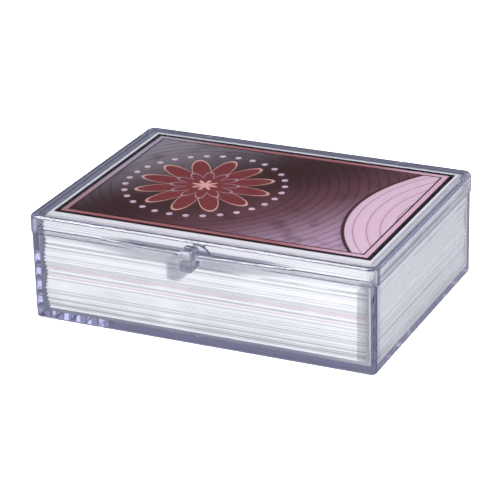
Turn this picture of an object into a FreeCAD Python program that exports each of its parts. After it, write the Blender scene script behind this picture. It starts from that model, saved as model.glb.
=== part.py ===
import FreeCAD, Part
import math
import os
import Sketcher

# Clear moulded card case with a hinged lid, shut on a full stack of cards.
# X runs along the long front edge, Y to the hinged back, Z up from the table.

CARD_PAIRS = 37  # the display card lies on top of these
CARD_COUNT = 2 * CARD_PAIRS + 1

SIZES = {
    # one card, and the room that it has in the tray
    "card_length": 88.9,
    "card_width": 63.5,
    "card_thick": 0.331,
    "end_room": 0.8,
    "side_room": 0.95,
    "head_room": 0.45,
    "seat_gap": 0.03,
    # tray
    "wall": 1.8,
    "floor_thick": 2.1,
    "base_corner": 1.5,
    "base_edge": 0.8,
    "rim_height": 1.0,
    "rim_gap": 0.25,
    # lid
    "lid_height": 5.05,
    "lid_panel": 1.2,
    "skirt_wall": 1.2,
    "lid_overhang": 0.5,
    "lid_corner": 2.7,
    "lid_edge": 1.1,
    "skirt_round": 0.3,
    "seam_gap": 0.04,
    # front catch: crescent ledge, pull tab, and the tray's half-moon tongue
    "ledge_chord": 52.6,
    "ledge_depth": 1.8,
    "ledge_height": 1.5,
    "ledge_drop": 2.9,
    "ledge_end": 0.5,
    "ledge_round": 0.45,
    "tab_width": 3.6,
    "tab_left": 1.0,
    "tab_depth": 4.4,
    "tab_corner": 0.7,
    "tab_hang": 1.8,
    "tab_crown": 1.6,
    "tab_gap": 0.2,
    "tab_round": 0.6,
    "tongue_radius": 3.5,
    # snap hinges on the back
    "hinge_place": 28.2,
    "pin_radius": 0.9,
    "pin_drop": 1.7,
    "pin_play": 0.08,
    "clip_wall": 0.9,
    "clip_width": 4.4,
    "clip_play": 0.25,
    "clip_rise": 3.0,
    "heel_rise": 0.8,
    "mouth_width": 1.5,
    "hinge_gap": 0.35,
    "stop_gap": 0.08,
    "ear_radius": 1.35,
    "ear_thick": 1.2,
    "ear_foot": 4.5,
    # how far a cut runs past the solid
    "overrun": 1.0,
}

# Where the cards lie in their room: -1 and 1 touch the walls.
STACK_LEFT_SHARE = 0.0
STACK_BACK_SHARE = 0.8
LEFT_SCATTER_SHARE = 0.75
BACK_SCATTER_SHARE = 0.15
DISPLAY_LEFT_SHARE = 0.51
DISPLAY_BACK_SHARE = 0.95

# How far each wave of the scatter turns from one card to the next, in radians.
SLOW_TURN = 0.23
LEFT_TURN = 1.9
BACK_TURN = 2.7

doc = FreeCAD.newDocument("CardCase")
sheet = doc.addObject("Spreadsheet::Sheet", "Sizes")
for row, (alias, number) in enumerate(SIZES.items(), start=1):
    sheet.set(f"A{row}", alias)
    sheet.set(f"B{row}", str(number))
    sheet.setAlias(f"B{row}", alias)
doc.recompute()


class Size:
    """A length with the expression that ties it to the sheet."""

    def __init__(self, text, number):
        self.text = text
        self.number = number

    def join(self, sign, other, number):
        return Size(f"({self.text} {sign} {as_size(other).text})", number)

    def __add__(self, other):
        return self.join("+", other, self.number + as_size(other).number)

    def __sub__(self, other):
        return self.join("-", other, self.number - as_size(other).number)

    def __mul__(self, other):
        return self.join("*", other, self.number * as_size(other).number)

    def __truediv__(self, other):
        return self.join("/", other, self.number / as_size(other).number)

    def __neg__(self):
        return Size(f"(0 - {self.text})", -self.number)


def as_size(value):
    return value if isinstance(value, Size) else Size(str(value), value)


def cell(alias):
    return Size(f"Sizes.{alias}", SIZES[alias])


def arc_radius(chord, rise):
    """Radius of the arc that stands rise above a chord."""
    return (chord * chord / 4 + rise * rise) / (rise * 2)


# Tray and lid, worked out from the cards
inside_length = cell("card_length") + cell("end_room") * 2
inside_width = cell("card_width") + cell("side_room") * 2
base_length = inside_length + cell("wall") * 2
base_width = inside_width + cell("wall") * 2
lid_length = base_length + cell("lid_overhang") * 2
lid_width = base_width + cell("lid_overhang") * 2
skirt_length = lid_length - cell("skirt_wall") * 2
skirt_width = lid_width - cell("skirt_wall") * 2
skirt_corner = cell("lid_corner") - cell("skirt_wall")
rim_length = skirt_length - cell("rim_gap") * 2
rim_width = skirt_width - cell("rim_gap") * 2
rim_corner = skirt_corner - cell("rim_gap")
rim_wall = (rim_width - inside_width) / 2
inside_corner = rim_corner - rim_wall

stack_foot = cell("floor_thick") + cell("seat_gap")
stack_top = stack_foot + cell("card_thick") * CARD_COUNT
lid_top = stack_top + cell("head_room") + cell("lid_panel")
lid_foot = lid_top - cell("lid_height")
seam = lid_foot - cell("seam_gap")
ledge_top = lid_top - cell("ledge_drop")

# Hinge pin, behind the back wall and just under the seam
back = base_width / 2
clip_ring = cell("pin_radius") + cell("pin_play") + cell("clip_wall")
pin_back = back + cell("hinge_gap") + clip_ring
pin_height = seam - cell("pin_drop")
slot_width = cell("clip_width") + cell("clip_play") * 2
ear_span = slot_width + cell("ear_thick") * 2


def new_body(label):
    body = doc.addObject("PartDesign::Body", label)
    body.Label = label
    return body


def origin_plane(body, role):
    return next(item for item in body.Origin.OriginFeatures if item.Role == role)


def new_sketch(body, name, role, height=None):
    """A sketch on one of the body's origin planes, raised along its normal."""
    sketch = body.newObject("Sketcher::SketchObject", name)
    sketch.AttachmentSupport = (origin_plane(body, role), [""])
    sketch.MapMode = "FlatFace"
    if height is not None:
        sketch.setExpression("AttachmentOffset.Base.z", height.text)
    return sketch


def drive(sketch, value, kind, *where):
    """Add a dimension that follows the sheet."""
    index = sketch.addConstraint(Sketcher.Constraint(kind, *where, value.number))
    sketch.setExpression(f"Constraints[{index}]", value.text)


def place_point(sketch, edge, end, across, up):
    """Tie one end of an edge to its place, measured from the sketch's origin."""
    for kind, value in (("DistanceX", across), ("DistanceY", up)):
        if value.number < 0:
            drive(sketch, -value, kind, edge, end, -1, 1)
        else:
            drive(sketch, value, kind, -1, 1, edge, end)


def rounded_rectangle(sketch, length, width, radius):
    """A rectangle about the origin with four equal rounded corners."""
    half_x = length.number / 2 - radius.number
    half_y = width.number / 2 - radius.number
    round_size = radius.number
    normal = FreeCAD.Vector(0, 0, 1)
    centres = [FreeCAD.Vector(x, y, 0) for x, y in
               ((half_x, -half_y), (half_x, half_y), (-half_x, half_y), (-half_x, -half_y))]
    lines, arcs = [], []
    for turn, centre in enumerate(centres):
        angle = math.pi / 2 * (turn - 1)
        outward = FreeCAD.Vector(math.cos(angle), math.sin(angle), 0) * round_size
        side = Part.LineSegment(centres[turn - 1] + outward, centre + outward)
        corner = Part.ArcOfCircle(Part.Circle(centre, normal, round_size), angle, angle + math.pi / 2)
        lines.append(sketch.addGeometry(side))
        arcs.append(sketch.addGeometry(corner))
    for turn in range(4):
        sketch.addConstraint(Sketcher.Constraint("Tangent", lines[turn], 2, arcs[turn], 1))
        sketch.addConstraint(Sketcher.Constraint("Tangent", arcs[turn], 2, lines[(turn + 1) % 4], 1))
        sketch.addConstraint(Sketcher.Constraint("Vertical" if turn % 2 else "Horizontal", lines[turn]))
    for turn in range(3):
        sketch.addConstraint(Sketcher.Constraint("Equal", arcs[turn], arcs[turn + 1]))
    sketch.addConstraint(Sketcher.Constraint("Symmetric", arcs[0], 3, arcs[2], 3, -1, 1))
    drive(sketch, length, "DistanceX", lines[3], 1, lines[1], 1)
    drive(sketch, width, "DistanceY", lines[0], 1, lines[2], 1)
    drive(sketch, radius, "Radius", arcs[0])


def outline(sketch, corners):
    """A closed outline. A corner with a radius is reached by an arc that turns left, not by a line."""
    edges = []
    for index, corner in enumerate(corners):
        start = FreeCAD.Vector(corners[index - 1][0].number, corners[index - 1][1].number, 0)
        end = FreeCAD.Vector(corner[0].number, corner[1].number, 0)
        if len(corner) == 2:
            edges.append(sketch.addGeometry(Part.LineSegment(start, end)))
            continue
        radius = corner[2].number
        chord = end - start
        inward = FreeCAD.Vector(-chord.y, chord.x, 0).normalize()
        reach = math.sqrt(max(radius ** 2 - (chord.Length / 2) ** 2, 0))
        centre = (start + end) / 2 + inward * reach
        first = math.atan2(start.y - centre.y, start.x - centre.x)
        last = math.atan2(end.y - centre.y, end.x - centre.x)
        circle = Part.Circle(centre, FreeCAD.Vector(0, 0, 1), radius)
        edges.append(sketch.addGeometry(Part.ArcOfCircle(circle, first, last)))
    for index, corner in enumerate(corners):
        following = edges[(index + 1) % len(edges)]
        sketch.addConstraint(Sketcher.Constraint("Coincident", edges[index], 2, following, 1))
        place_point(sketch, edges[index], 2, corner[0], corner[1])
        if len(corner) == 3:
            drive(sketch, corner[2], "Radius", edges[index])


def circle_at(sketch, across, up, radius):
    centre = FreeCAD.Vector(across.number, up.number, 0)
    edge = sketch.addGeometry(Part.Circle(centre, FreeCAD.Vector(0, 0, 1), radius.number))
    place_point(sketch, edge, 3, across, up)
    drive(sketch, radius, "Radius", edge)


def pad(body, sketch, name, length, reverse=False):
    feature = body.newObject("PartDesign::Pad", name)
    feature.Profile = sketch
    feature.Reversed = reverse
    feature.setExpression("Length", length.text)
    doc.recompute()
    return feature


def pocket(body, sketch, name, length, reverse=False):
    """Cut against the sketch's normal, or along it when reversed, and make sure that it cut."""
    before = body.Shape.Volume
    feature = body.newObject("PartDesign::Pocket", name)
    feature.Profile = sketch
    feature.Reversed = reverse
    feature.setExpression("Length", length.text)
    doc.recompute()
    if body.Shape.Volume >= before:
        raise RuntimeError(f"{name} cut nothing")
    return feature


def fillet(body, name, radius, wanted):
    """Round the edges of the body's last feature for which wanted(edge box) is true."""
    base = body.Tip
    edges = [f"Edge{number}" for number, edge in enumerate(base.Shape.Edges, start=1)
             if wanted(edge.BoundBox)]
    feature = body.newObject("PartDesign::Fillet", name)
    feature.Base = (base, edges)
    feature.setExpression("Radius", radius.text)
    doc.recompute()
    return feature


def mirror_left(body, name, features):
    """Repeat the right-hand hinge on the left."""
    feature = body.newObject("PartDesign::Mirrored", name)
    feature.Originals = features
    feature.MirrorPlane = (origin_plane(body, "YZ_Plane"), [""])
    body.Tip = feature
    doc.recompute()
    return feature


def same(first, second):
    return math.isclose(first, second, abs_tol=1e-6)


def base_tray():
    """The lower shell: walls, locating rim, catch tongue and hinge ears with their pins."""
    body = new_body("base_tray")
    plan = new_sketch(body, "wall_plan", "XY_Plane")
    rounded_rectangle(plan, base_length, base_width, cell("base_corner"))
    pad(body, plan, "walls", seam)
    fillet(body, "bottom_edge", cell("base_edge"), lambda box: same(box.ZMax, 0))

    rim_plan = new_sketch(body, "rim_plan", "XY_Plane", cell("floor_thick"))
    rounded_rectangle(rim_plan, rim_length, rim_width, rim_corner)
    pad(body, rim_plan, "rim", seam + cell("rim_height") - cell("floor_thick"))

    # The tongue stands on the front wall's rim and keeps the lid's skirt in line.
    half_moon = new_sketch(body, "tongue_face", "XZ_Plane", rim_width / 2)
    reach = cell("tongue_radius")
    outline(half_moon, [(reach, seam), (as_size(0), seam + reach, reach), (-reach, seam, reach)])
    pad(body, half_moon, "tongue", rim_wall, reverse=True)

    cavity_plan = new_sketch(body, "cavity_plan", "XY_Plane", cell("floor_thick"))
    rounded_rectangle(cavity_plan, inside_length, inside_width, inside_corner)
    pocket(body, cavity_plan, "cavity", lid_top, reverse=True)

    ear_face = new_sketch(body, "ear_face", "YZ_Plane", cell("hinge_place") - ear_span / 2)
    ear_radius = cell("ear_radius")
    outline(ear_face, [
        (back - rim_wall, pin_height + ear_radius),
        (back - rim_wall, pin_height - cell("ear_foot")),
        (back, pin_height - cell("ear_foot")),
        (pin_back, pin_height - ear_radius),
        (pin_back + ear_radius, pin_height, ear_radius),
        (pin_back, pin_height + ear_radius, ear_radius),
    ])
    ears = pad(body, ear_face, "hinge_ears", ear_span)
    slot_face = new_sketch(body, "slot_face", "YZ_Plane", cell("hinge_place") + slot_width / 2)
    slot_back = pin_back + ear_radius + cell("overrun")
    slot_low = pin_height - cell("ear_foot") - cell("overrun")
    slot_high = seam + cell("overrun")
    outline(slot_face, [(back, slot_low), (slot_back, slot_low), (slot_back, slot_high), (back, slot_high)])
    circle_at(slot_face, pin_back, pin_height, cell("pin_radius"))
    slot = pocket(body, slot_face, "pin_slot", slot_width)
    mirror_left(body, "left_hinge", [ears, slot])
    return body


def hinged_lid():
    """The upper shell: panel and skirt, crescent ledge, pull tab and snap-on hinge clips."""
    body = new_body("hinged_lid")
    plan = new_sketch(body, "lid_plan", "XY_Plane", lid_foot)
    rounded_rectangle(plan, lid_length, lid_width, cell("lid_corner"))
    pad(body, plan, "lid_block", cell("lid_height"))
    fillet(body, "top_edge", cell("lid_edge"), lambda box: same(box.ZMin, lid_top.number))
    fillet(body, "skirt_edge", cell("skirt_round"), lambda box: same(box.ZMax, lid_foot.number))
    skirt_plan = new_sketch(body, "skirt_plan", "XY_Plane", lid_foot)
    rounded_rectangle(skirt_plan, skirt_length, skirt_width, skirt_corner)
    pocket(body, skirt_plan, "lid_hollow", cell("lid_height") - cell("lid_panel"), reverse=True)

    front = lid_width / 2
    ledge_low = ledge_top - cell("ledge_height")
    ledge_plan = new_sketch(body, "ledge_plan", "XY_Plane", ledge_low)
    half_chord = cell("ledge_chord") / 2
    ledge_root = front - cell("skirt_wall") / 2
    ledge_start = front + cell("ledge_end")
    bow = arc_radius(cell("ledge_chord"), cell("ledge_depth") - cell("ledge_end"))
    outline(ledge_plan, [
        (half_chord, -ledge_root),
        (-half_chord, -ledge_root),
        (-half_chord, -ledge_start),
        (half_chord, -ledge_start, bow),
    ])
    pad(body, ledge_plan, "ledge", cell("ledge_height"))
    fillet(body, "ledge_edges", cell("ledge_round"), lambda box: box.YMax < -front.number
           and (same(box.ZMax, ledge_low.number) or same(box.ZMin, ledge_top.number)))

    tab_low = lid_foot - cell("tab_hang")
    tab_high = ledge_top + cell("tab_crown")
    tab_plan = new_sketch(body, "tab_plan", "XY_Plane", tab_low)
    tab_left_side = -cell("tab_left") - cell("tab_width") / 2
    tab_right_side = tab_left_side + cell("tab_width")
    tab_root = back + cell("tab_gap")
    tab_front = front + cell("tab_depth")
    corner = cell("tab_corner")
    outline(tab_plan, [
        (tab_right_side, -tab_root),
        (tab_left_side, -tab_root),
        (tab_left_side, corner - tab_front),
        (tab_left_side + corner, -tab_front, corner),
        (tab_right_side - corner, -tab_front),
        (tab_right_side, corner - tab_front, corner),
    ])
    pad(body, tab_plan, "pull_tab", tab_high - tab_low)
    tab_side = front + (cell("tab_depth") - corner) / 2
    fillet(body, "tab_ends", cell("tab_round"), lambda box: box.YMin < -tab_side.number
           and (same(box.ZMax, tab_low.number) or same(box.ZMin, tab_high.number)))

    clip_face = new_sketch(body, "clip_face", "YZ_Plane", cell("hinge_place") - cell("clip_width") / 2)
    heel = cell("hinge_gap") + clip_ring - cell("stop_gap")
    outline(clip_face, [
        (back, lid_foot + cell("clip_rise")),
        (back, lid_foot),
        (pin_back - clip_ring, lid_foot),
        (pin_back - clip_ring, pin_height),
        (pin_back, pin_height - clip_ring, clip_ring),
        (pin_back + heel - clip_ring, pin_height - clip_ring),
        (pin_back + heel, pin_height, clip_ring),
        (pin_back + heel, lid_foot + cell("heel_rise")),
    ])
    clip = pad(body, clip_face, "hinge_clip", cell("clip_width"))
    bore_face = new_sketch(body, "bore_face", "YZ_Plane", cell("hinge_place") + cell("clip_width") / 2)
    circle_at(bore_face, pin_back, pin_height, cell("pin_radius") + cell("pin_play"))
    bore = pocket(body, bore_face, "pin_bore", cell("clip_width"))
    mouth_face = new_sketch(body, "mouth_face", "YZ_Plane", cell("hinge_place") + cell("clip_width") / 2)
    half_mouth = cell("mouth_width") / 2
    mouth_low = pin_height - clip_ring - cell("overrun")
    outline(mouth_face, [
        (pin_back - half_mouth, mouth_low),
        (pin_back + half_mouth, mouth_low),
        (pin_back + half_mouth, pin_height),
        (pin_back - half_mouth, pin_height),
    ])
    mouth = pocket(body, mouth_face, "snap_mouth", cell("clip_width"))
    mirror_left(body, "left_clip", [clip, bore, mouth])
    return body


def card(name, place, left_share, back_share):
    """One card, lying on the cards below it and pushed to its place in the tray."""
    plate = doc.addObject("Part::Box", name)
    left_end = cell("end_room") * left_share - cell("card_length") / 2
    front_side = cell("side_room") * back_share - cell("card_width") / 2
    under_side = stack_foot + cell("card_thick") * place
    plate.setExpression("Length", cell("card_length").text)
    plate.setExpression("Width", cell("card_width").text)
    plate.setExpression("Height", cell("card_thick").text)
    plate.setExpression("Placement.Base.x", left_end.text)
    plate.setExpression("Placement.Base.y", front_side.text)
    plate.setExpression("Placement.Base.z", under_side.text)
    return plate


def card_pair(number):
    """Two neighbouring cards of the stack, each a little out of line."""
    plates = []
    for place in (2 * number, 2 * number + 1):
        left_wave = (math.cos(SLOW_TURN * place) + math.sin(LEFT_TURN * place)) / 2
        back_wave = (math.sin(SLOW_TURN * place) + math.sin(BACK_TURN * place)) / 2
        left_share = round(STACK_LEFT_SHARE + LEFT_SCATTER_SHARE * left_wave, 3)
        back_share = round(STACK_BACK_SHARE + BACK_SCATTER_SHARE * back_wave, 3)
        plates.append(card(f"plate_{place:02d}", place, left_share, back_share))
    pair = doc.addObject("Part::Compound", f"card_pair_{number + 1:02d}")
    pair.Links = plates
    return pair


def display_card():
    """The top card, which shows through the lid."""
    return card("display_card", CARD_COUNT - 1, DISPLAY_LEFT_SHARE, DISPLAY_BACK_SHARE)


def main():
    nodes = [base_tray(), hinged_lid()]
    nodes += [card_pair(number) for number in range(CARD_PAIRS)]
    nodes.append(display_card())
    doc.recompute()
    for item in doc.Objects:
        if "Invalid" in item.State or "Error" in item.State:
            raise RuntimeError(f"{item.Label} failed: {item.State}")
    for node in nodes:
        if node.Shape.isNull() or not node.Shape.isValid():
            raise RuntimeError(f"{node.Label} has no valid shape")
    os.makedirs("parts", exist_ok=True)
    for node in nodes:
        node.Shape.exportStep(f"parts/{node.Label}.step")
    print(len(nodes), "nodes, lid top at", round(lid_top.number, 3), "mm")
    print("hinge pin at", round(pin_back.number, 3), round(pin_height.number, 3), "mm")


main()
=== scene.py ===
import math

import bpy
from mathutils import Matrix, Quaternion, Vector


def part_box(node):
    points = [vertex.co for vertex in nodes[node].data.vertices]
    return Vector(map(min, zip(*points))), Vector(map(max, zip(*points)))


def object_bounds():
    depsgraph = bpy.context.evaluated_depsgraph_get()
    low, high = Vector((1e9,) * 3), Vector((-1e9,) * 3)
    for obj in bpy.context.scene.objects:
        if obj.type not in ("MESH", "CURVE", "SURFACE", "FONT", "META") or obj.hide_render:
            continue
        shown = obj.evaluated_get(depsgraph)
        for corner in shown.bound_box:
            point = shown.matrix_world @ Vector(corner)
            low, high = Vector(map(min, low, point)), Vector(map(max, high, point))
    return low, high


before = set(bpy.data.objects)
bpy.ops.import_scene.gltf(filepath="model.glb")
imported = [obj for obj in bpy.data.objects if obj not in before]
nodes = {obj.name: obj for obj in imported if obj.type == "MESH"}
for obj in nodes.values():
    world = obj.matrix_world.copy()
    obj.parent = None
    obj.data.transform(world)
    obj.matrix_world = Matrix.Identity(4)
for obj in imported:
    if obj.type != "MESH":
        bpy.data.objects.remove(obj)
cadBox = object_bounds()
mm = 0.001
print("frame loaded:", len(nodes), "CAD nodes")


class Wire:  # one output socket; sums, products and tests on it add Math nodes
    def __init__(self, graph, socket):
        self.graph = graph
        self.socket = socket

    def calc(self, operation, *values):
        return self.graph.add("Math", {"operation": operation}, dict(enumerate(values)))

    def __add__(self, other):
        return self.calc("ADD", self, other)

    def __sub__(self, other):
        return self.calc("SUBTRACT", self, other)

    def __rsub__(self, other):
        return self.calc("SUBTRACT", other, self)

    def __mul__(self, other):
        return self.calc("MULTIPLY", self, other)

    def __truediv__(self, other):
        return self.calc("DIVIDE", self, other)

    def __lt__(self, other):
        return self.calc("LESS_THAN", self, other)

    def __gt__(self, other):
        return self.calc("GREATER_THAN", self, other)

    def __abs__(self):
        return self.calc("ABSOLUTE", self)

    __radd__ = __add__
    __rmul__ = __mul__

    def least(self, other):
        return self.calc("MINIMUM", self, other)

    def most(self, other):
        return self.calc("MAXIMUM", self, other)

    def root(self):
        return self.calc("SQRT", self)

    def wave(self):
        return self.calc("COSINE", self)

    def angle(self, along):
        return self.calc("ARCTAN2", self, along)

    def whole(self):
        return self.calc("FLOOR", self)

    def part(self):
        return self.calc("FRACT", self)

    def ease(self, low, high):  # 0 below low, 1 above high, smooth between
        return self.graph.add(
            "MapRange", {"interpolation_type": "SMOOTHSTEP"},
            {"Value": self, "From Min": low, "From Max": high},
        )

    def near(self, place, width, soft):  # 1 on a line at place, width across, with soft sides
        return 1 - abs(self - place).ease(width / 2 - soft / 2, width / 2 + soft / 2)


class Graph:  # the node tree of a material or of the world
    def __init__(self, owner):
        owner.use_nodes = True
        self.owner = owner
        self.tree = owner.node_tree
        self.tree.nodes.clear()

    def add(self, kind, settings=None, sockets=None, output=0):
        node = self.tree.nodes.new("ShaderNode" + kind)
        for name, value in (settings or {}).items():
            setattr(node, name, value)
        for name, value in (sockets or {}).items():
            if isinstance(value, Wire):
                self.tree.links.new(value.socket, node.inputs[name])
            else:
                node.inputs[name].default_value = value
        return Wire(self, node.outputs[output])

    def colours(self, mask, first, second, blend="MIX"):  # first at mask 0; second, or their product, at 1
        return self.add(
            "Mix", {"data_type": "RGBA", "blend_type": blend}, {0: mask, 6: first, 7: second}, output=2
        )

    def noise(self, spot, scale, detail):  # soft clouds, scale per millimetre
        return self.add("TexNoise", None, {"Vector": spot, "Scale": scale, "Detail": detail})

    def chance(self, number):  # from 0 to 1, always the same for the same number
        return self.add("TexWhiteNoise", {"noise_dimensions": "1D"}, {"W": number})

    def places(self):  # x, y, z on the object, in millimetres
        spot = self.add("TexCoord", output="Object")
        scaled = self.add("VectorMath", {"operation": "SCALE"}, {0: spot, "Scale": 1 / mm})
        split = self.add("SeparateXYZ", None, {0: scaled})
        return scaled, [Wire(self, split.socket.node.outputs[i]) for i in range(3)]

    def finish(self, surface, volume=None, kind="OutputMaterial"):
        end = self.tree.nodes.new("ShaderNode" + kind)
        self.tree.links.new(surface.socket, end.inputs["Surface"])
        if volume is not None:
            self.tree.links.new(volume.socket, end.inputs["Volume"])
        return self.owner


def newFinish(name):
    return Graph(bpy.data.materials.new(name))


def dress(node, material):
    for slot in nodes[node].material_slots:
        slot.material = material


# clear moulded shells
clearPlastic = {
    "ior": 1.56,
    "roughness": 0.015,
    "tint": (0.965, 0.96, 0.985, 1),
    "depthColour": (0.33, 0.24, 0.70, 1),
    "depthDensity": 4,  # per metre, so that only long paths along a wall show colour
    "ripple": (1 / 9, 2),  # noise scale per mm, and detail
    "rippleDepth": 0.03,  # mm
    "smudge": (0.06, 4),  # noise scale per mm, and detail
    "smudgeRange": (0.5, 0.75),
    "smudgeRoughness": 0.02,
    "shadeTint": (0.93, 0.93, 0.94, 1),  # what each face passes of a lamp's light
    "thickShade": (0.26, 0.26, 0.28, 1),  # the same where the plastic is thick and bends it away
    "postReach": 3.0,  # mm, the tray's front corner posts
}
lidFormAndShadeLines = {  # mm; the painted lines are painted shade for the dark lines that refraction makes, each with its place, width and soft sides
    "height": 5.05,  # from the lid's top to its foot
    "ledgeDrop": 2.9,  # from the lid's top to the ledge's top
    "ledgeStand": 0.15,  # before the lid's front, where the ledge begins
    "ledgeFade": (0, 1.4),  # from there, where the ledge's shadow sets in and is full
    "tab": (-1, 2.2),  # its middle and half its width
    # painted shade: the ledge's body is tinted greyer for the light its thick plastic bends away
    "ledgeShadeTint": (0.90, 0.91, 0.95, 1),
    # painted shade: the dark lines that stand for refraction
    "refractionShadeTint": (0.16, 0.17, 0.24, 1),
    "corner": (2.4, 0.6, 0.3),  # in from the lid's sides
    "cornerDrop": 1.4,  # from the lid's top
    "cornerStrength": 0.55,
    "footRise": 0.35,
    "footStrength": 0.6,
    "rootRise": (0.35, 0.8, 0.4),  # above the ledge's top
    "rootFront": (0, 0.3, 0.1),  # from the lid's front
    "rootEnds": (17, 27),  # from the middle, where the line thins out
    "upperEdge": (-0.4, 0.35, 0.2),  # above the ledge's top
    "lowerEdge": (-1.4, 0.3, 0.2),
}
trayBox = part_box("base_tray")
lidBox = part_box("hinged_lid")
trayRight, trayFront, trayBack = trayBox[1].x / mm, trayBox[0].y / mm, trayBox[1].y / mm
lidRight, lidTop = lidBox[1].x / mm, lidBox[1].z / mm
lidFront = trayFront - (lidRight - trayRight)  # the overhang is the same in front as on the right
lidFoot = lidTop - lidFormAndShadeLines["height"]
ledgeTop = lidTop - lidFormAndShadeLines["ledgeDrop"]
ledgeRoot = lidFront - lidFormAndShadeLines["ledgeStand"]


def ledgeMask(x, y):  # the ledge without the tab, where its shade is painted
    middle, half = lidFormAndShadeLines["tab"]
    return (y < ledgeRoot) * (abs(x - middle) > half)


def ledgeShade(x, y):  # grows from the ledge's root, so that its thin ends cast little shadow
    return (ledgeRoot - y).ease(*lidFormAndShadeLines["ledgeFade"])


def postShade(x, y):  # the tray's front right corner post
    reach = clearPlastic["postReach"]
    return (x > trayRight - reach) * (y < trayFront + reach)


def lidShadeLines(x, y, z, ledge, values):  # painted shade lines along the lid's inner corner and foot, the ledge's root and front edges
    inset = (lidRight - abs(x)).least(-lidFront - abs(y))
    corner = inset.near(*values["corner"]) * (z > lidTop - values["cornerDrop"])
    foot = (z < lidFoot + values["footRise"]) * (y < trayBack)
    rise = z - ledgeTop
    root = rise.near(*values["rootRise"]) * (y - lidFront).near(*values["rootFront"])
    root = root * (1 - abs(x).ease(*values["rootEnds"]))
    edges = rise.near(*values["upperEdge"]).most(rise.near(*values["lowerEdge"])) * ledge
    lines = root.most(edges).most(corner * values["cornerStrength"])
    return lines.most(foot * values["footStrength"])


def clearShell(name, values, shade, shadeLines=None):
    g = newFinish(name)
    spot, (x, y, z) = g.places()
    tint = values["tint"]
    if shadeLines:
        # painted shade: a greyer ledge, and dark lines for the light that refraction bends away
        ledge = ledgeMask(x, y)
        tint = g.colours(ledge, tint, shadeLines["ledgeShadeTint"])
        tint = g.colours(lidShadeLines(x, y, z, ledge, shadeLines), tint, shadeLines["refractionShadeTint"])
    ripple = g.noise(spot, *values["ripple"])
    swell = g.add("Bump", None, {
        "Strength": 1, "Distance": values["rippleDepth"] * mm, "Height": ripple,
    })
    smudge = g.noise(spot, *values["smudge"]).ease(*values["smudgeRange"])
    glass = g.add("BsdfPrincipled", None, {
        "Base Color": tint, "Roughness": smudge * values["smudgeRoughness"] + values["roughness"],
        "IOR": values["ior"], "Transmission Weight": 1, "Normal": swell,
    })
    thin = g.add("BsdfTransparent", None, {"Color": values["shadeTint"]})
    heavy = g.add("BsdfTransparent", None, {"Color": values["thickShade"]})
    opened = g.add("MixShader", None, {0: shade(x, y), 1: thin, 2: heavy})  # for a lamp's light only
    lampRay = g.add("LightPath", output="Is Shadow Ray")
    surface = g.add("MixShader", None, {0: lampRay, 1: glass, 2: opened})
    depth = g.add("VolumeAbsorption", None, {
        "Color": values["depthColour"], "Density": values["depthDensity"],
    })
    return g.finish(surface, depth)


dress("base_tray", clearShell("clearTray", clearPlastic, postShade))
dress("hinged_lid", clearShell("clearLid", clearPlastic, ledgeShade, lidFormAndShadeLines))
print("shells dressed")

# the cards' cut edges
cardEdges = {
    "roughness": 0.6,
    "white": (0.88, 0.89, 0.87, 1),
    "grey": (0.46, 0.46, 0.46, 1),
    "gap": (0.10, 0.10, 0.10, 1),
    "streaks": (0.07, 2),  # noise scale per mm, and detail
    "toneSeed": 3.5,
    "toneRange": (0.45, 1),  # of a card's random value, from white to grey
    "toneStrength": 0.55,
    "gapSeed": 71.5,
    "gapRange": (0.45, 0.95),  # of a gap's random value, from none to dark
    "gapStreaks": (0.3, 0.6),
    "gapFrom": 0.34,  # of a card's thickness, from the middle of its edge
    "gapStrength": 0.8,
    "stripeStreaks": (0.2, 0.45),
    "stripes": {  # place in the stack from the bottom, strength, colour
        "lowGreen": (3, 0.7, (0.22, 0.27, 0.24, 1)),
        "lowGrey": (7, 0.6, (0.25, 0.27, 0.27, 1)),
        "faintPink": (27, 0.35, (0.80, 0.45, 0.50, 1)),
        "pink": (34, 0.5, (0.76, 0.30, 0.38, 1)),
        "green": (53, 0.6, (0.50, 0.62, 0.52, 1)),
    },
    "endFrom": 43.5,  # mm, where the right ends begin
    "endShade": (0.79, 0.81, 0.82, 1),  # painted shade: the right ends are painted that much greyer than the fronts
    "endTone": 0.25,  # and have weaker tones
    "endGap": 0.35,  # and weaker gaps
}
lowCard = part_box("card_pair_01")
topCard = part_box("display_card")
stackFoot = lowCard[0].z / mm
cardThick = (topCard[1].z - topCard[0].z) / mm
half = 0.5  # of a card, or of one step in a pattern


def cardStock(values):
    g = newFinish("cardStock")
    spot, (x, _, z) = g.places()
    layer = (z - stackFoot) / cardThick
    index = layer.whole()
    rightEnd = x > values["endFrom"]
    streaks = g.noise(spot, *values["streaks"])
    tone = g.chance(index + values["toneSeed"]).ease(*values["toneRange"])
    tone = tone * (values["toneStrength"] - rightEnd * values["endTone"])
    colour = g.colours(tone, values["white"], values["grey"])
    for place, strength, paint in values["stripes"].values():
        stripe = (abs(index - place) < half) * streaks.ease(*values["stripeStreaks"])
        colour = g.colours(stripe * (1 - rightEnd) * strength, colour, paint)
    gap = g.chance((layer + half).whole() + values["gapSeed"]).ease(*values["gapRange"])
    gap = gap * (abs(layer.part() - half) > values["gapFrom"]) * streaks.ease(*values["gapStreaks"])
    gap = gap * (values["gapStrength"] - rightEnd * values["endGap"])
    colour = g.colours(gap, colour, values["gap"])
    # painted shade: the right ends multiplied greyer
    colour = g.colours(rightEnd, colour, values["endShade"], "MULTIPLY")
    paper = g.add("BsdfPrincipled", None, {"Base Color": colour, "Roughness": values["roughness"]})
    return g.finish(paper)


stock = cardStock(cardEdges)
for node in nodes:
    if node.startswith("card_pair"):
        dress(node, stock)
print("card edges dressed")

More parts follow.
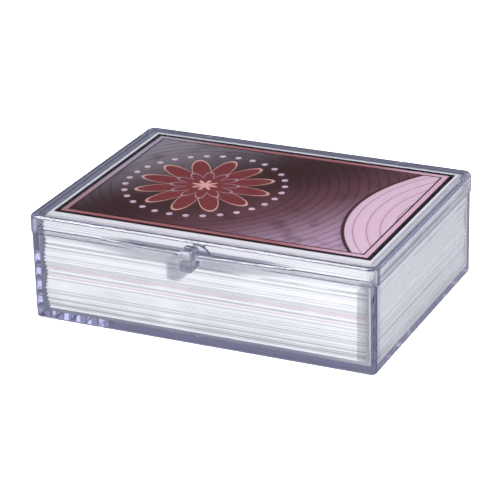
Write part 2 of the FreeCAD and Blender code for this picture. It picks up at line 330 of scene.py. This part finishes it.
# the printed top card, in mm
printedFace = {
    "middle": (0.1, 1.6),  # the print lies a little off the card's middle
    "halfLength": 43.4,
    "halfWidth": 30.15,
    "roughness": 0.4,
    "gloss": 0.1,
    "upFacing": 0.5,  # only faces that look up more than this are printed
    "white": (0.86, 0.86, 0.86, 1),
    "black": (0.005, 0.003, 0.003, 1),
    "dark": (0.050, 0.025, 0.025, 1),
    "pale": (0.77, 0.57, 0.66, 1),
    "cream": (0.80, 0.48, 0.40, 1),
    "field": {  # each colour sets in between two places along the slant
        "slope": 0.8,
        "haze": (0.31, 0.28, 0.31, 1),
        "darkEnds": (-62, -14),
        "rose": (0.155, 0.070, 0.080, 1),
        "roseEnds": (-8, 22),
        "mauve": (0.50, 0.34, 0.44, 1),
        "mauveEnds": (14, 52),
        "mottle": (0.16, 3),  # noise scale per mm, and detail
        "mottleRange": (0.5, 0.75),
        "mottleStrength": 0.5,
    },
    "rosette": {
        "middle": (-15, 0),
        "colour": (0.21, 0.048, 0.048, 1),
        "petals": 12,
        "notch": 9,  # radius between the petals
        "tip": 18,  # radius at the petals' tips
        "rim": (0, 0.8, 0.3),
        "innerNotch": 5,
        "innerDepth": 4,
        "innerRim": (0, 0.6, 0.3),
        "starPoints": 8,
        "starRadius": 2.4,
        "starDepth": 1.2,
        "rings": (2.6, 0.2, 0.1),  # spacing, then width and soft sides as shares of it
        "ringGap": 5,  # between the petals' tips and the first ring
        "ringStrength": 0.35,
        "beads": 30,
        "beadRing": 21,
        "beadRadius": 0.85,
    },
    "disc": {  # at the right end
        "middle": (72, 1),
        "radius": 45,
        "rim": (0.9, 0.3),
        "arcs": (3.4, 0.12, 0.08),  # spacing, then width and soft sides as shares of it
        "arcGap": 1.5,  # between the disc's rim and the first arc
        "arcStrength": 0.6,
    },
    "border": {
        "outline": 1.3,
        "inside": 2.7,  # from the outline's outside to the border's inside
        "innerLine": 0.45,
        "slope": 0.3,
        "frontEnds": (-46, -26),  # along the slant, where back turns to front
        "rightEnds": (15, 40),  # where that turns to right
        "back": (0.48, 0.40, 0.47, 1),
        "front": (0.42, 0.16, 0.16, 1),
        "right": (0.76, 0.50, 0.60, 1),
    },
}


def roundPlace(u, v, middle):  # distance from a middle and the angle round it
    du, dv = u - middle[0], v - middle[1]
    return (du * du + dv * dv).root(), dv.angle(du)


def evenRings(reach, spacing, width, soft):
    return (reach / spacing).part().near(half, width, soft)


def printedField(g, u, v, spot, face):
    values = face["field"]
    slant = u - v * values["slope"]  # grows to the right and the front
    colour = g.colours(slant.ease(*values["darkEnds"]), values["haze"], face["dark"])
    colour = g.colours(slant.ease(*values["roseEnds"]), colour, values["rose"])
    colour = g.colours(slant.ease(*values["mauveEnds"]), colour, values["mauve"])
    mottle = g.noise(spot, *values["mottle"]).ease(*values["mottleRange"])
    return g.colours(mottle * values["mottleStrength"], colour, face["dark"])


def printedRosette(g, colour, u, v, face):
    values = face["rosette"]
    notch, tip = values["notch"], values["tip"]
    reach, turn = roundPlace(u, v, values["middle"])
    rings = evenRings(reach, *values["rings"]) * (reach > tip + values["ringGap"])
    colour = g.colours(rings * values["ringStrength"], colour, face["black"])
    lobes = turn * (values["petals"] / 2)
    petal = reach - abs(lobes.wave()) * (tip - notch) - notch  # mm outside the petals' rim
    colour = g.colours(petal < 0, colour, values["colour"])
    colour = g.colours(petal.near(*values["rim"]), colour, face["cream"])
    inner = reach - abs((lobes + math.pi / 2).wave()) * values["innerDepth"] - values["innerNotch"]
    colour = g.colours(inner.near(*values["innerRim"]), colour, face["border"]["back"])
    star = reach - (turn * values["starPoints"]).wave() * values["starDepth"] - values["starRadius"]
    colour = g.colours(star < 0, colour, face["cream"])
    step = 2 * math.pi / values["beads"]
    along = ((turn / step).part() - half) * (step * values["beadRing"])
    across = reach - values["beadRing"]
    bead = (along * along + across * across).root()
    return g.colours(bead < values["beadRadius"], colour, face["pale"])


def printedDisc(g, colour, u, v, face):
    values = face["disc"]
    radius = values["radius"]
    reach, _ = roundPlace(u, v, values["middle"])
    colour = g.colours(reach < radius, colour, face["pale"])
    arcs = evenRings(reach, *values["arcs"]) * (reach < radius - values["arcGap"])
    colour = g.colours(arcs * values["arcStrength"], colour, face["border"]["front"])
    return g.colours(reach.near(radius, *values["rim"]), colour, face["dark"])


def printedBorder(g, colour, u, v, face):
    values = face["border"]
    slant = u - v * values["slope"]
    border = g.colours(slant.ease(*values["frontEnds"]), values["back"], values["front"])
    border = g.colours(u.ease(*values["rightEnds"]), border, values["right"])
    bands = (  # how far in each one reaches, the innermost first
        (values["inside"] + values["innerLine"], face["black"]),
        (values["inside"], border),
        (values["outline"], face["black"]),
        (0, face["white"]),
    )
    inset = (face["halfLength"] - abs(u)).least(face["halfWidth"] - abs(v))
    for depth, paint in bands:
        colour = g.colours(inset < depth, colour, paint)
    return colour


def printedCard(face):
    g = newFinish("printedCard")
    spot, (x, y, _) = g.places()
    u, v = x - face["middle"][0], y - face["middle"][1]
    colour = printedField(g, u, v, spot, face)
    for design in (printedRosette, printedDisc, printedBorder):
        colour = design(g, colour, u, v, face)
    upward = g.add("SeparateXYZ", None, {0: g.add("NewGeometry", output="Normal")}, output=2)
    colour = g.colours(upward > face["upFacing"], face["white"], colour)
    paper = g.add("BsdfPrincipled", None, {
        "Base Color": colour, "Roughness": face["roughness"], "Specular IOR Level": face["gloss"],
    })
    return g.finish(paper)


dress("display_card", printedCard(printedFace))
print("top card dressed")

# studio: floor, black card, lamps, surroundings and camera
studio = {
    "floorDrop": 0.05,  # mm, a hair under the case
    "floorHalf": 4.0,  # m
    "floorColour": (0.9, 0.9, 0.9, 1),
    "floorRoughness": 0.9,
    "floorGlow": 0.85,
    "glowColour": (1, 1, 1, 1),
    "floorLeft": (0.19, 0.20, 0.26, 1),  # the table as the plastic shows it, on the left
    "floorRight": (0.62, 0.63, 0.68, 1),  # and on the right
    "floorTurn": (22, 60),  # mm, from x to x
    "floorFar": (0.46, 0.47, 0.60, 1),  # and far behind or far to the left
    "floorDepth": (60, 170),  # mm, from y to y
    "floorSide": (62, 105),  # mm, to the left
    "flag": ((-90, 59.5), (23, 59.5), (-4, 104), (-146, 104)),  # mm, a black card that the lid's top mirrors
    "flagBack": 112,  # mm
    "flagColour": (0, 0, 0, 1),
    "surround": (0.21, 0.22, 0.28, 1),
    "lamps": {  # azimuth, elevation, distance m, size m, watts, whether it lights the cards
        "key": (39.5, 29.5, 0.8, 0.05, 6.6, True),
        "fill": (-30, 28, 0.9, 0.6, 2.7, True),
        "top": (20, 80, 0.9, 0.7, 3.8, True),
        "spark": (-45, 56, 0.5, 0.35, 5.0, False),
    },
    "patches": {  # azimuth, elevation, inner and outer half angle, colour
        "paleTop": (-20, 72, 12, 35, (1.4, 1.4, 1.45, 1)),
        "paleLeft": (-85, 42, 10, 26, (0.9, 0.9, 1.0, 1)),
        "paleRight": (106, 46, 8, 22, (0.95, 1.0, 1.2, 1)),
        "paleBehind": (138, 46, 10, 22, (1.3, 1.35, 1.5, 1)),
        "lilacBehind": (150, 27, 8, 18, (0.85, 0.9, 1.2, 1)),
        "blueBehind": (-152, 25, 4, 10, (0.23, 0.24, 0.33, 1)),
        "paleHorizon": (-150, 3, 5, 14, (0.40, 0.41, 0.54, 1)),
    },
    "bounces": 128,  # light runs a long way inside the walls
    "clearLayers": 24,
}


def away(azimuth, elevation):
    a, e = math.radians(azimuth), math.radians(elevation)
    return Vector((math.sin(a) * math.cos(e), -math.cos(a) * math.cos(e), math.sin(e)))


def studioSheet(name, corners, material):
    mesh = bpy.data.meshes.new(name)
    mesh.from_pydata(corners, [], [tuple(range(len(corners)))])
    mesh.materials.append(material)
    sheet = bpy.data.objects.new(name, mesh)
    bpy.context.scene.collection.objects.link(sheet)
    return sheet


def studioFloor(values):
    g = newFinish("studioFloor")
    paint = g.add("BsdfPrincipled", None, {
        "Base Color": values["floorColour"], "Roughness": values["floorRoughness"],
        "Emission Color": values["glowColour"], "Emission Strength": values["floorGlow"],
    })
    _, (x, y, _) = g.places()
    far = y.ease(*values["floorDepth"]).most((x * -1).ease(*values["floorSide"]))
    hidden = g.colours(far, values["floorLeft"], values["floorFar"])
    hidden = g.colours(x.ease(*values["floorTurn"]), hidden, values["floorRight"])
    beyond = g.add("Emission", None, {"Color": hidden})
    seen = g.add("LightPath", output="Is Camera Ray")
    material = g.finish(g.add("MixShader", None, {0: seen, 1: beyond, 2: paint}))
    material.cycles.emission_sampling = "NONE"
    reach, low = values["floorHalf"], -values["floorDrop"] * mm
    corners = [(-reach, -reach, low), (reach, -reach, low), (reach, reach, low), (-reach, reach, low)]
    floor = studioSheet("studioFloor", corners, material)


def studioFlag(values):
    g = newFinish("studioFlag")
    material = g.finish(g.add("Emission", None, {"Color": values["flagColour"]}))
    corners = [(x * mm, values["flagBack"] * mm, z * mm) for x, z in values["flag"]]
    flag = studioSheet("studioFlag", corners, material)
    flag.visible_camera = flag.visible_diffuse = flag.visible_shadow = False


def studioLamps(values):
    middle = (Vector(cadBox[0]) + Vector(cadBox[1])) / 2
    for name, (azimuth, elevation, distance, size, watts, lights) in values["lamps"].items():
        lamp = bpy.data.lights.new(name, "AREA")
        lamp.size = size
        lamp.energy = watts
        place = bpy.data.objects.new(name, lamp)
        back = away(azimuth, elevation)
        place.location = middle + back * distance
        place.rotation_mode = "QUATERNION"
        place.rotation_quaternion = (-back).to_track_quat("-Z", "Y")
        place.visible_transmission = False
        place.visible_diffuse = lights
        bpy.context.scene.collection.objects.link(place)


def studioWorld(values):
    g = Graph(bpy.data.worlds.new("surroundings"))
    way = g.add("TexCoord", output="Generated")
    colour = values["surround"]
    for azimuth, elevation, inner, outer, paint in values["patches"].values():
        facing = g.add(
            "VectorMath", {"operation": "DOT_PRODUCT"}, {0: way, 1: away(azimuth, elevation)}, "Value"
        )
        inside = facing.ease(math.cos(math.radians(outer)), math.cos(math.radians(inner)))
        colour = g.colours(inside, colour, paint)
    glow = g.add("Background", None, {"Color": colour})
    bpy.context.scene.world = g.finish(glow, kind="OutputWorld")


def studioLight(values):
    scene = bpy.context.scene
    scene.view_settings.view_transform = "Standard"
    scene.cycles.max_bounces = values["bounces"]
    scene.cycles.transmission_bounces = values["bounces"]
    scene.cycles.glossy_bounces = values["bounces"]
    scene.cycles.transparent_max_bounces = values["clearLayers"]
    scene.cycles.blur_glossy = 0


photoCamera = {
    "place": (233.352, -504.597, 250.785),  # mm
    "azimuth": 24.97,
    "elevation": 23.21,
    "roll": -1.39,
    "lens": 167.26,  # mm
    "sensor": 36,  # mm
}


def studioCamera(values):
    camera = bpy.data.objects.new("photoCamera", bpy.data.cameras.new("photoCamera"))
    camera.data.sensor_width = values["sensor"]
    camera.data.lens = values["lens"]
    camera.location = Vector(values["place"]) * mm
    back = away(values["azimuth"], values["elevation"])
    roll = Quaternion((0, 0, 1), math.radians(values["roll"]))
    camera.rotation_mode = "QUATERNION"
    camera.rotation_quaternion = (-back).to_track_quat("-Z", "Y") @ roll
    bpy.context.scene.collection.objects.link(camera)
    bpy.context.scene.camera = camera


for build in (studioFloor, studioFlag, studioLamps, studioWorld, studioLight):
    build(studio)
studioCamera(photoCamera)
print("studio ready")
